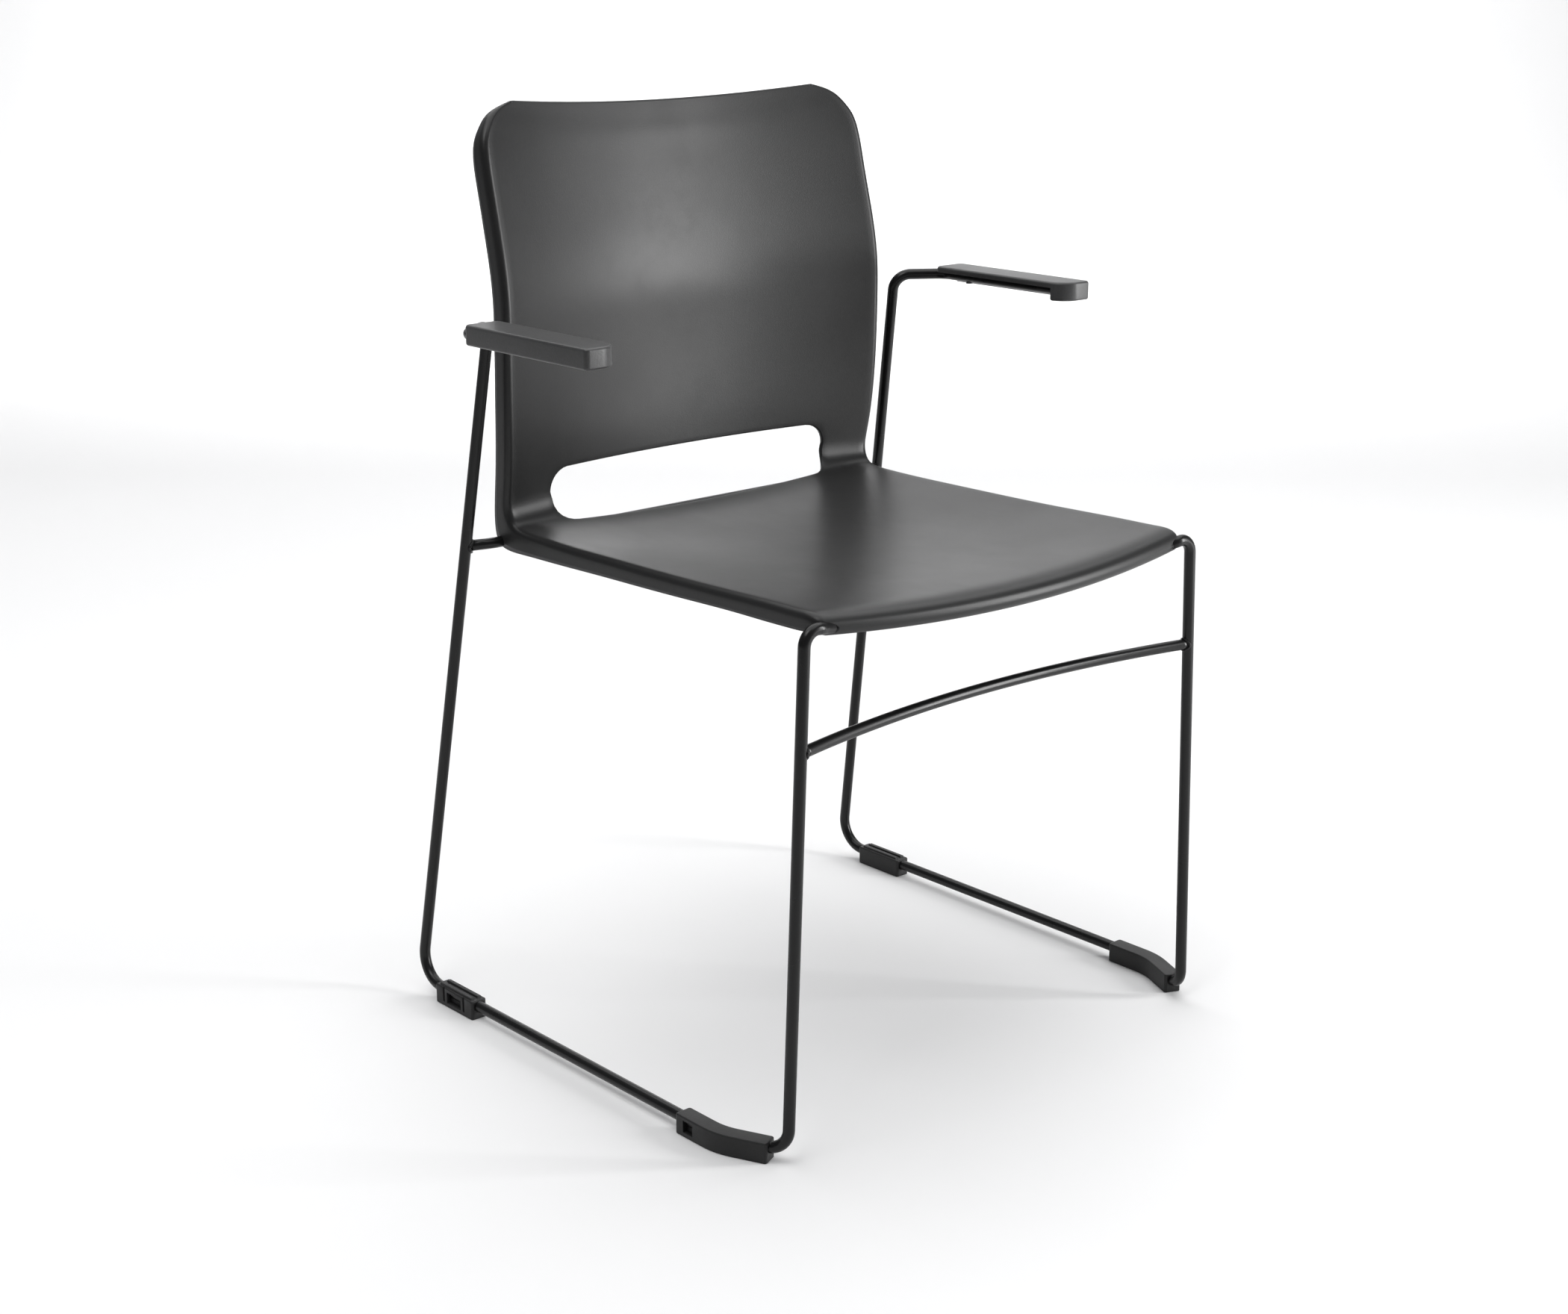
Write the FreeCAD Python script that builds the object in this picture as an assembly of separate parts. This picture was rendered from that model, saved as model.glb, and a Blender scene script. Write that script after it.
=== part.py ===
# Stacking armchair: bent round-rod frame, one-piece moulded seat-and-back
# shell, arm pads and clip-on floor glides.
# Millimetres, +Z up, front of the chair towards -Y, origin on the floor under
# the middle of the bounding box.
import FreeCAD, Part
import os, math

os.makedirs("parts", exist_ok=True)
Vec = FreeCAD.Vector

# ------------------------------------------------------------ driving sizes
Y_SHIFT = 10.117          # centres the chair front to back on the origin
ROD_R = 5.0               # all main rods are 10 mm round bar
BAR_R = 4.75              # cross rods and seat rails, 9.5 mm round bar

RUNNER_X = 265.0          # half width of the floor runners
RUNNER_Z = 12.0           # runner axis above the floor
LEG_X0 = 240.2            # front leg half width at runner height
LEG_K = 0.038             # front leg inward lean per mm of height
LEG_Y = -240.0            # front leg plane
REAR_Y = 241.5            # rear corner of the runner
REAR_KX = 0.0483          # rear upright inward lean
REAR_KY = 0.1613          # rear upright forward lean
RAIL_Z = 438.0            # top corner of the front legs
RAIL_END_X = 196.0        # where the side frame meets the front seat rail
RAIL_END_Z = 435.4
RAIL_SAG = 9.0            # dip of the front seat rail at its middle
ARM_Z = 624.2             # arm rod axis
ARM_X = 276.0
ARM_END_Y = -50.0
ARM_BACK_Y = 116.0

CROSSBAR_Z = 341.4        # front crossbar
CROSSBAR_BOW = 26.0
REARBAR_Y = 168.0         # rear cross rod under the back of the seat
REARBAR_Z = 430.0

SEAT_RAIL_X = 150.0
RAIL_Y0, RAIL_Y1, RAIL_Y2 = 430.0, 424.8, 427.0   # seat rail heights: front, middle, rear
BACK_ROD_X = 184.0
BACK_Y0, BACK_Y1 = 171.5, 160.5   # back support at the crease and at its top

SHELL_T = 4.2             # moulded wall
SHELL_R = 7.0             # side edge radius
SLOT_X = 161.0            # half width of the opening between seat and back
SLOT_Z = 487.0            # top of the opening
SLOT_Y = 151.0
SLOT_R = 20.0

GLIDE_W = 16.0
GLIDE_H = 17.9


def V(x, y, z):
    return Vec(x, y + Y_SHIFT, z)


def mirrored(s):
    return s.mirror(Vec(0, 0, 0), Vec(1, 0, 0))


def export(name, shape):
    sh = shape
    if sh.ShapeType == "Compound" and len(sh.Solids) == 1:
        sh = sh.Solids[0]
    sh.exportStep("parts/%s.step" % name)
    print("%-26s vol %10.1f  solids %d valid %s" % (name, sh.Volume, len(sh.Solids), sh.isValid()))


def cyl(p, q, r):
    d = q.sub(p)
    return Part.makeCylinder(r, d.Length, p, d)


def clean(s):
    try:
        t = s.removeSplitter()
        if t.isValid() and abs(t.Volume - s.Volume) < 1e-3 * abs(s.Volume):
            s = t
    except Exception:
        pass
    if s.ShapeType == "Compound" and len(s.Solids) == 1:
        s = s.Solids[0]
    return s


# ------------------------------------------------------------ rod bending
def disc(p, d, r):
    return Part.Face(Part.Wire(Part.makeCircle(r, p, d)))


def bent_rod(points, radii, r):
    """Round bar along straight runs joined by tangent bends."""
    pieces = []
    start = points[0]
    length = 0.0
    for i in range(1, len(points)):
        if i == len(points) - 1:
            pieces.append(cyl(start, points[i], r))
            length += points[i].sub(start).Length
            break
        a = points[i].sub(points[i - 1])
        b = points[i + 1].sub(points[i])
        a.normalize()
        b.normalize()
        turn = a.getAngle(b)
        rad = radii[i - 1]
        t = rad * math.tan(turn / 2)
        p1 = points[i].sub(a * t)
        p2 = points[i].add(b * t)
        axis = a.cross(b)
        axis.normalize()
        inward = axis.cross(a)
        centre = p1.add(inward * rad)
        pieces.append(cyl(start, p1, r))
        length += p1.sub(start).Length
        pieces.append(disc(p1, a, r).revolve(centre, axis, math.degrees(turn)))
        length += rad * turn
        start = p2
    s = pieces[0]
    if len(pieces) > 1:
        s = pieces[0].multiFuse(pieces[1:])
    s = clean(s)
    print("   rod length %.1f  volume ratio %.5f" % (length, s.Volume / (math.pi * r * r * length)))
    return s


def arc_rod(p, m, q, r):
    """Round bar along a circular arc through three points."""
    c = Part.Arc(p, m, q)
    e = c.toShape()
    centre = e.Curve.Center
    axis = p.sub(centre).cross(q.sub(centre))
    axis.normalize()
    ang = p.sub(centre).getAngle(q.sub(centre))
    t = axis.cross(p.sub(centre))
    t.normalize()
    return disc(p, t, r).revolve(centre, axis, math.degrees(ang))


def leg_x(z):
    return LEG_X0 - LEG_K * (z - RUNNER_Z)


def rear_x(z):
    return RUNNER_X - REAR_KX * (z - RUNNER_Z)


def rear_y(z):
    return REAR_Y - REAR_KY * (z - RUNNER_Z)


# ------------------------------------------------------------ rod frame
side_pts = [
    V(RAIL_END_X, LEG_Y, RAIL_END_Z),
    V(leg_x(RAIL_Z), LEG_Y, RAIL_Z),
    V(LEG_X0, LEG_Y, RUNNER_Z),
    V(RUNNER_X, -185.0, RUNNER_Z),
    V(RUNNER_X, REAR_Y, RUNNER_Z),
    V(rear_x(ARM_Z), rear_y(ARM_Z), ARM_Z),
    V(ARM_X, ARM_BACK_Y, ARM_Z),
    V(ARM_X, ARM_END_Y, ARM_Z),
]
side_l_full = bent_rod(side_pts, [13.0, 18.0, 62.0, 26.0, 16.0, 17.0], ROD_R)

front_rail = arc_rod(V(-RAIL_END_X, LEG_Y, RAIL_END_Z), V(0, LEG_Y, RAIL_END_Z - RAIL_SAG),
                     V(RAIL_END_X, LEG_Y, RAIL_END_Z), ROD_R)

cb_x = leg_x(CROSSBAR_Z)
crossbar = arc_rod(V(-cb_x, LEG_Y, CROSSBAR_Z), V(0, LEG_Y + CROSSBAR_BOW, CROSSBAR_Z),
                   V(cb_x, LEG_Y, CROSSBAR_Z), BAR_R)

rb_x = rear_x(REARBAR_Z)
rb_y = rear_y(REARBAR_Z)
rearbar = bent_rod([V(-rb_x, rb_y, REARBAR_Z), V(-222, REARBAR_Y, REARBAR_Z),
                    V(222, REARBAR_Y, REARBAR_Z), V(rb_x, rb_y, REARBAR_Z)],
                   [40.0, 40.0], BAR_R)

seat_rail_l = bent_rod([V(SEAT_RAIL_X, LEG_Y, RAIL_Y0), V(SEAT_RAIL_X, -60, RAIL_Y1),
                        V(SEAT_RAIL_X, REARBAR_Y, RAIL_Y2)], [1000.0], BAR_R)

back_rod_l = bent_rod([V(BACK_ROD_X, REARBAR_Y + 0.5, REARBAR_Z), V(BACK_ROD_X, BACK_Y0, 466.0),
                       V(BACK_ROD_X, BACK_Y1, 600.0)], [30.0], BAR_R)

side_l_full_solid = side_l_full
crossbar = crossbar.cut(side_l_full_solid).cut(mirrored(side_l_full_solid))
crossbar = max(crossbar.Solids, key=lambda s: s.Volume)
rearbar = rearbar.cut(side_l_full_solid).cut(mirrored(side_l_full_solid))
rearbar = max(rearbar.Solids, key=lambda s: s.Volume)
seat_rail_l = seat_rail_l.cut(front_rail).cut(rearbar)
seat_rail_l = max(seat_rail_l.Solids, key=lambda s: s.Volume)
back_rod_l = back_rod_l.cut(rearbar)
back_rod_l = max(back_rod_l.Solids, key=lambda s: s.Volume)


# ------------------------------------------------------------ moulded shell
# rows run from the lower edge of the rolled front rim, over the seat, through
# the crease and up to the top edge of the back: y, z at the side edge, y, z on
# the centre line, y, z of the lower/rear end of the side flange, half width
ROWS = [
    (-239.2, 429.2, -257.0, 421.2, -233.4, 432.0, 206.0),
    (-241.8, 433.7, -261.0, 425.5, -233.8, 433.7, 208.0),
    (-241.8, 439.0, -261.4, 431.1, -233.2, 434.3, 209.3),
    (-238.0, 443.9, -257.6, 436.1, -231.6, 432.5, 210.3),
    (-231.0, 446.7, -250.0, 438.9, -227.6, 430.6, 211.1),
    (-215.5, 447.3, -232.0, 439.4, -213.8, 429.4, 211.5),
    (-185.0, 446.8, -198.0, 437.5, -184.0, 428.8, 211.5),
    (-140.0, 445.8, -148.0, 434.3, -139.5, 428.4, 211.5),
    (-90.0, 444.5, -95.0, 431.6, -89.5, 427.0, 211.5),
    (-30.0, 443.6, -35.0, 429.5, -29.0, 425.4, 211.5),
    (30.0, 443.1, 25.0, 428.8, 33.0, 424.2, 211.5),
    (85.0, 442.8, 80.0, 429.7, 93.0, 422.8, 211.5),
    (120.0, 443.2, 118.0, 432.0, 137.0, 422.2, 211.5),
    (138.5, 444.2, 142.5, 435.8, 161.0, 423.2, 212.1),
    (147.8, 447.2, 156.5, 441.0, 171.0, 428.0, 212.8),
    (152.6, 453.2, 166.0, 448.4, 174.5, 437.5, 213.5),
    (154.6, 461.2, 172.0, 458.3, 174.6, 451.0, 214.3),
    (152.9, 473.0, 174.4, 470.5, 172.8, 467.5, 215.0),
    (149.2, 492.0, 174.6, 489.5, 169.6, 490.0, 215.8),
    (146.0, 518.0, 174.2, 516.0, 166.4, 518.5, 216.7),
    (143.9, 548.0, 174.2, 547.0, 164.4, 549.0, 217.4),
    (142.8, 580.0, 173.8, 579.5, 162.8, 581.0, 217.7),
    (142.2, 612.0, 172.6, 610.5, 162.2, 612.5, 217.7),
    (142.9, 641.0, 171.6, 638.5, 162.6, 639.0, 217.5),
    (147.6, 673.0, 174.9, 669.5, 166.9, 669.0, 217.1),
    (155.2, 705.0, 182.0, 701.0, 174.4, 700.5, 216.5),
    (163.0, 736.3, 189.7, 731.8, 182.0, 731.8, 216.1),
    (169.7, 763.1, 196.2, 757.6, 188.2, 758.6, 214.9),
    (174.1, 776.5, 199.2, 769.5, 190.4, 772.0, 211.5),
    (178.9, 787.5, 201.9, 779.2, 192.3, 783.5, 204.1),
    (185.1, 798.0, 204.5, 788.8, 194.6, 794.6, 190.3),
    (191.4, 803.9, 206.7, 797.0, 197.0, 801.5, 168.5),
]


def unit2(a, b):
    n = math.hypot(a, b)
    return a / n, b / n


def row_normals(k):
    """2-D normals of a row curve, pointing away from the wall."""
    out = []
    n = len(ROWS)
    for i in range(n):
        a = ROWS[max(i - 1, 0)]
        b = ROWS[min(i + 1, n - 1)]
        ty, tz = unit2(b[k] - a[k], b[k + 1] - a[k + 1])
        out.append((-tz, ty))
    return out


N_EDGE = row_normals(0)
N_MID = row_normals(2)
# positions across the half section: flange, rounded edge, dish
DISH = [0.0, 0.125, 0.25, 0.375, 0.5, 0.62, 0.73, 0.83, 0.91, 0.965]
CORNER = [0.0, 0.25, 0.5, 0.75, 1.0]
FLANGE = [0.34, 0.68, 1.0]


def half_section(i, inner):
    ey, ez, cy, cz, gy, gz, w = ROWS[i]
    t = SHELL_T
    te = SHELL_T
    if i < 4:
        te = [2.6, 2.8, 3.2, 3.8][i]
    depth = math.hypot(gy - ey, gz - ez)
    r = min(SHELL_R, depth * 0.62)
    if inner:
        ny, nz = N_EDGE[i]
        ey, ez = ey - te * ny, ez - te * nz
        ny, nz = N_MID[i]
        cy, cz = cy - t * ny, cz - t * nz
        w = w - te
        r = max(r - te, 1.0)
    fy, fz = gy - ey, gz - ez
    depth = math.hypot(fy, fz)
    fy, fz = fy / depth, fz / depth
    pts = []

    def dish(x):
        k = min((x / w) ** 2, 1.0)
        return cy + (ey - cy) * k, cz + (ez - cz) * k

    for s in DISH:
        x = s * (w - r)
        y, z = dish(x)
        pts.append((x, y, z))
    for s in CORNER:
        a = s * math.pi / 2
        x = w - r + r * math.sin(a)
        y, z = dish(x)
        d = r * (1 - math.cos(a))
        pts.append((x, y + fy * d, z + fz * d))
    for s in FLANGE:
        d = r + (depth - r) * s
        pts.append((w, ey + fy * d, ez + fz * d))
    return pts


def grid(inner):
    g = []
    for i in range(len(ROWS)):
        h = half_section(i, inner)
        left = [V(-x, y, z) for (x, y, z) in reversed(h[1:])]
        right = [V(x, y, z) for (x, y, z) in h]
        g.append(left + right)
    return g


def skin(g):
    s = Part.BSplineSurface()
    s.interpolate(g)
    return s


SPLIT_U = [0, 5, 12, 17, 26, len(ROWS) - 1]
SPLIT_V = [0, 3, 7, 27, 31, 34]


def split_params(surface, g):
    jm = len(g[0]) // 2
    im = len(g) // 2
    lo_u, hi_u, lo_v, hi_v = surface.bounds()
    us = [surface.parameter(g[i][jm])[0] for i in SPLIT_U]
    vs = [surface.parameter(g[im][j])[1] for j in SPLIT_V]
    us[0], us[-1], vs[0], vs[-1] = lo_u, hi_u, lo_v, hi_v
    return us, vs


def patches(surface, us, vs):
    out = []
    for i in range(len(us) - 1):
        for j in range(len(vs) - 1):
            q = surface.copy()
            q.segment(us[i], us[i + 1], vs[j], vs[j + 1])
            out.append(q.toShape())
    return out


def strip(co, ci, to, ti):
    """closing faces between matching boundary curves"""
    out = []
    for i in range(len(to) - 1):
        a, b = co.copy(), ci.copy()
        a.segment(to[i], to[i + 1])
        b.segment(ti[i], ti[i + 1])
        out.append(Part.makeRuledSurface(a.toShape(), b.toShape()))
    return out


g_out, g_in = grid(False), grid(True)
so, si = skin(g_out), skin(g_in)
uo, vo = split_params(so, g_out)
ui, vi = split_params(si, g_in)
outer_f = Part.makeCompound(patches(so, uo, vo))
inner_f = Part.makeCompound(patches(si, ui, vi))
faces = list(outer_f.Faces) + list(inner_f.Faces)
faces += strip(so.uIso(uo[0]), si.uIso(ui[0]), vo, vi)
faces += strip(so.uIso(uo[-1]), si.uIso(ui[-1]), vo, vi)
faces += strip(so.vIso(vo[0]), si.vIso(vi[0]), uo, ui)
faces += strip(so.vIso(vo[-1]), si.vIso(vi[-1]), uo, ui)
comp = Part.makeCompound(faces)
comp.sewShape()
shells = comp.Shells
shell = Part.Solid(shells[0])
if shell.Volume < 0:
    shell.reverse()
print("shell raw: shells %d closed %s valid %s vol %.0f" % (len(shells), shells[0].isClosed(), shell.isValid(), shell.Volume))

# opening between the seat and the back
slot = Part.makeBox(2 * SLOT_X, 120.0, SLOT_Z - 405.0, V(-SLOT_X, SLOT_Y, 405.0))
slot_edges = []
for e in slot.Edges:
    bb = e.BoundBox
    along_y = bb.YLength > 100 and bb.ZMin > SLOT_Z - 1
    along_z = bb.ZLength > 50 and bb.YMax < SLOT_Y + Y_SHIFT + 1
    if along_y or along_z:
        slot_edges.append(e)
slot = slot.makeFillet(SLOT_R, slot_edges)
shell = shell.cut(slot)
shell = max(shell.Solids, key=lambda s: s.Volume)


# ------------------------------------------------------------ tabs, bosses, screws
TAB_T = 3.0
TAB_HOLE_R = 2.4
BOSS_R = 6.5
PILOT_R = 1.9
SCREW_R = 1.8


def line_hit(face, p, q):
    """first point where the segment p-q meets the face"""
    e = Part.makeLine(p, q)
    sec = face.section(e)
    if not sec.Vertexes:
        return None
    return min((v.Point for v in sec.Vertexes), key=lambda w: w.sub(p).Length)


def rail_z(y):
    if y < -60:
        return RAIL_Y0 + (RAIL_Y1 - RAIL_Y0) * (y - LEG_Y) / (-60 - LEG_Y)
    return RAIL_Y1 + (RAIL_Y2 - RAIL_Y1) * (y + 60.0) / (REARBAR_Y + 60.0)


parts = {}
shell_add = []
shell_cut = []
for tag, ty in (("front", -150.0), ("rear", 90.0)):
    zr = rail_z(ty)
    bx = 134.0
    zt = zr - 0.6                      # tab top
    tab = Part.makeBox(SEAT_RAIL_X - (bx - 9.5), 22.0, TAB_T, V(bx - 9.5, ty - 11.0, zt - TAB_T))
    corner = [e for e in tab.Edges if e.BoundBox.ZLength > TAB_T - 0.1 and e.BoundBox.XMin < bx - 9.0]
    tab = tab.makeFillet(5.0, corner)
    tab = tab.cut(seat_rail_l)
    tab = max(tab.Solids, key=lambda s: s.Volume)
    tab = tab.cut(Part.makeCylinder(TAB_HOLE_R, 20, V(bx, ty, zt - 10)))
    under = line_hit(inner_f, V(bx, ty, 400), V(bx, ty, 460)).z
    over = line_hit(outer_f, V(bx, ty, 400), V(bx, ty, 460)).z
    print("   seat tab %s: tab top %.2f under %.2f over %.2f" % (tag, zt, under, over))
    boss = Part.makeCylinder(BOSS_R, under + 1.8 - zt, V(bx, ty, zt))
    depth = over - 1.6
    shell_add.append(boss)
    shell_cut.append(Part.makeCylinder(PILOT_R, depth - zt + 1, V(bx, ty, zt - 1)))
    head_z = zt - TAB_T
    screw = Part.makeCylinder(4.0, 2.2, V(bx, ty, head_z - 2.2))
    screw = screw.makeFillet(0.8, [e for e in screw.Edges if e.BoundBox.ZMax < head_z - 2.1])
    screw = screw.fuse(Part.makeCylinder(SCREW_R, depth - 0.8 - head_z, V(bx, ty, head_z)))
    drive = Part.makeBox(4.4, 1.1, 1.2, V(bx - 2.2, ty - 0.55, head_z - 2.2))
    drive2 = Part.makeBox(1.1, 4.4, 1.2, V(bx - 0.55, ty - 2.2, head_z - 2.2))
    screw = clean(screw.cut(drive.fuse(drive2)))
    parts["seat_tab_%s_left" % tag] = tab
    parts["seat_screw_%s_left" % tag] = screw

# back tab, behind the back near the top of each back support rod
bz = 586.0
bx = 166.0
by_rod = BACK_Y0 + (BACK_Y1 - BACK_Y0) * (bz - 466.0) / (600.0 - 466.0)
under = line_hit(inner_f, V(bx, 300, bz), V(bx, 100, bz)).y - Y_SHIFT
over = line_hit(outer_f, V(bx, 300, bz), V(bx, 100, bz)).y - Y_SHIFT
tab_y = max(by_rod - 1.0, under + 1.5)
print("   back tab: rod y %.2f  shell rear face %.2f front face %.2f tab y %.2f" % (by_rod, under, over, tab_y))
tab = Part.makeBox(BACK_ROD_X - (bx - 9.5), TAB_T, 24.0, V(bx - 9.5, tab_y, bz - 12.0))
corner = [e for e in tab.Edges if e.BoundBox.YLength > TAB_T - 0.1 and e.BoundBox.XMin < bx - 9.0]
tab = tab.makeFillet(5.0, corner)
tab = tab.cut(back_rod_l)
tab = max(tab.Solids, key=lambda s: s.Volume)
tab = tab.cut(Part.makeCylinder(TAB_HOLE_R, 20, V(bx, tab_y - 8, bz), Vec(0, 1, 0)))
boss = Part.makeCylinder(BOSS_R, tab_y - (under - 1.8), V(bx, under - 1.8, bz), Vec(0, 1, 0))
shell_add.append(boss)
pil0 = over + 1.6
shell_cut.append(Part.makeCylinder(PILOT_R, tab_y + 1 - pil0, V(bx, pil0, bz), Vec(0, 1, 0)))
hy = tab_y + TAB_T
screw = Part.makeCylinder(4.0, 2.2, V(bx, hy, bz), Vec(0, 1, 0))
screw = screw.makeFillet(0.8, [e for e in screw.Edges if e.BoundBox.YMin > hy + Y_SHIFT + 2.1])
screw = screw.fuse(Part.makeCylinder(SCREW_R, hy - (pil0 + 0.8), V(bx, pil0 + 0.8, bz), Vec(0, 1, 0)))
screw = clean(screw.cut(Part.makeBox(4.4, 1.2, 1.1, V(bx - 2.2, hy + 1.0, bz - 0.55)).fuse(
    Part.makeBox(1.1, 1.2, 4.4, V(bx - 0.55, hy + 1.0, bz - 2.2)))))
parts["back_tab_left"] = tab
parts["back_screw_left"] = screw

adds = shell_add + [mirrored(b) for b in shell_add]
cuts = shell_cut + [mirrored(b) for b in shell_cut]
shell = shell.multiFuse(adds)
shell = shell.cut(cuts[0].multiFuse(cuts[1:]))
shell = max(shell.Solids, key=lambda s: s.Volume)


# ------------------------------------------------------------ arm pads
PAD_X0, PAD_X1 = 252.0, 287.0
PAD_Y0, PAD_Y1 = -60.0, 105.0
PAD_TOP, PAD_BOT = 634.5, 617.5
PAD_PLATE = ARM_Z + ROD_R          # plate rests on the rod
PAD_FLANGE_Y = -43.0           # behind this the underside is open beside the rod


def rounded_plan(x0, x1, y0, y1, r00, r10, r11, r01, z, h):
    """plan outline with four corner radii: front inner, front outer, rear outer, rear inner"""
    k = math.sqrt(0.5)
    pts = []

    def line(a, b):
        return Part.makeLine(a, b)

    def arc(a, m, b):
        return Part.Arc(a, m, b).toShape()

    es = [
        line(V(x0 + r00, y0, z), V(x1 - r10, y0, z)),
        arc(V(x1 - r10, y0, z), V(x1 - r10 + r10 * k, y0 + r10 - r10 * k, z), V(x1, y0 + r10, z)),
        line(V(x1, y0 + r10, z), V(x1, y1 - r11, z)),
        arc(V(x1, y1 - r11, z), V(x1 - r11 + r11 * k, y1 - r11 + r11 * k, z), V(x1 - r11, y1, z)),
        line(V(x1 - r11, y1, z), V(x0 + r01, y1, z)),
        arc(V(x0 + r01, y1, z), V(x0 + r01 - r01 * k, y1 - r01 + r01 * k, z), V(x0, y1 - r01, z)),
        line(V(x0, y1 - r01, z), V(x0, y0 + r00, z)),
        arc(V(x0, y0 + r00, z), V(x0 + r00 - r00 * k, y0 + r00 - r00 * k, z), V(x0 + r00, y0, z)),
    ]
    return Part.Face(Part.Wire(es)).extrude(Vec(0, 0, h))


pad = rounded_plan(PAD_X0, PAD_X1, PAD_Y0, PAD_Y1, 20.0, 4.0, 6.0, 6.0, PAD_BOT, PAD_TOP - PAD_BOT)
top_edges = [e for e in pad.Edges if e.BoundBox.ZMin > PAD_TOP - 0.01]
pad = pad.makeFillet(2.6, top_edges)
# open underside beside the rod, leaving the top plate, the outer flange and the nose
pad = pad.cut(Part.makeBox(281.3 - 240.0, 200.0, PAD_PLATE - 600.0, V(240.0, PAD_FLANGE_Y, 600.0)))
pad = max(pad.Solids, key=lambda s: s.Volume)
low = [e for e in pad.Edges if e.BoundBox.ZMax < PAD_BOT + 0.01 and e.BoundBox.YMax < PAD_FLANGE_Y + Y_SHIFT + 0.01]
try:
    pad = pad.makeFillet(2.0, low)
except Exception as ex:
    print("nose fillet skipped", ex)
pad = pad.cut(side_l_full)
pad = max(pad.Solids, key=lambda s: s.Volume)
# two screws up through the rod into each pad
for tag, py in (("front", -30.0), ("rear", 82.0)):
    hole = Part.makeCylinder(2.0, 2 * ROD_R + 2, V(ARM_X, py, ARM_Z - ROD_R - 1))
    side_l_full = side_l_full.cut(hole)
    pad = pad.cut(Part.makeCylinder(PILOT_R, 4.2, V(ARM_X, py, PAD_PLATE - 0.6)))
    hz = ARM_Z - ROD_R
    flat = Part.makeCylinder(3.6, 3.0, V(ARM_X, py, hz - 2.0))
    side_l_full = side_l_full.cut(flat)
    screw = Part.makeCylinder(3.4, 2.0, V(ARM_X, py, hz - 1.0))
    screw = screw.fuse(Part.makeCylinder(SCREW_R, PAD_PLATE + 3.0 - hz, V(ARM_X, py, hz)))
    screw = clean(screw.cut(Part.makeBox(4.0, 1.0, 1.0, V(ARM_X - 2.0, py - 0.5, hz - 1.0)).fuse(
        Part.makeBox(1.0, 4.0, 1.0, V(ARM_X - 0.5, py - 2.0, hz - 1.0)))))
    parts["arm_screw_%s_left" % tag] = screw
parts["arm_pad_left"] = pad

# ------------------------------------------------------------ floor glides
def glide_finish(block, screw_x, screw_y):
    """seat the block on the rod and take its fixing screw"""
    global side_l_full
    block = block.cut(side_l_full)
    block = max(block.Solids, key=lambda s: s.Volume)
    block = block.cut(Part.makeCylinder(3.6, 3.4, V(screw_x, screw_y, -1.0)))
    block = block.cut(Part.makeCylinder(2.0, 9.0, V(screw_x, screw_y, -1.0)))
    side_l_full = side_l_full.cut(Part.makeCylinder(PILOT_R, 6.0, V(screw_x, screw_y, 6.0)))
    s = Part.makeCylinder(3.2, 1.4, V(screw_x, screw_y, 1.0))
    s = s.fuse(Part.makeCylinder(SCREW_R, 8.2, V(screw_x, screw_y, 2.4)))
    s = clean(s.cut(Part.makeBox(4.0, 1.0, 0.8, V(screw_x - 2.0, screw_y - 0.5, 1.0)).fuse(
        Part.makeBox(1.0, 4.0, 0.8, V(screw_x - 0.5, screw_y - 2.0, 1.0)))))
    return block, s


hw = GLIDE_W / 2
# rear glide
gy0, gy1 = 150.0, 208.0
g = Part.makeBox(GLIDE_W, gy1 - gy0, GLIDE_H, V(RUNNER_X - hw, gy0, 0))
g = g.makeFillet(2.4, [e for e in g.Edges if e.BoundBox.ZLength > GLIDE_H - 0.1])
g = g.makeFillet(1.4, [e for e in g.Edges if e.BoundBox.ZMin > GLIDE_H - 0.01])
g = g.makeFillet(1.0, [e for e in g.Edges if e.BoundBox.ZMax < 0.01])
# two stacking ridges on the crown, with a groove between them
rid = Part.makeBox(4.2, gy1 - gy0 - 10, 2.4, V(RUNNER_X - hw + 2.2, gy0 + 5, GLIDE_H - 0.6))
rid2 = Part.makeBox(4.2, gy1 - gy0 - 10, 2.4, V(RUNNER_X + hw - 6.4, gy0 + 5, GLIDE_H - 0.6))
rid = rid.makeFillet(1.0, [e for e in rid.Edges if e.BoundBox.ZMin > GLIDE_H + 1.7])
rid2 = rid2.makeFillet(1.0, [e for e in rid2.Edges if e.BoundBox.ZMin > GLIDE_H + 1.7])
g = clean(g.multiFuse([rid, rid2]))
# outer side: two clamp jaws with a recess between them
g = g.cut(Part.makeBox(6.0, 22.0, 10.5, V(RUNNER_X + 3.2, (gy0 + gy1) / 2 - 11.0, 4.0)))
g = g.cut(Part.makeBox(1.2, 3.0, 30.0, V(RUNNER_X + hw - 1.2, gy0 + 12.0, 4.0)))
g = g.cut(Part.makeBox(1.2, 3.0, 30.0, V(RUNNER_X + hw - 1.2, gy1 - 15.0, 4.0)))
rear_g, rear_s = glide_finish(g, RUNNER_X, (gy0 + gy1) / 2)
parts["rear_glide_left"] = rear_g
parts["rear_glide_screw_left"] = rear_s

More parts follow.
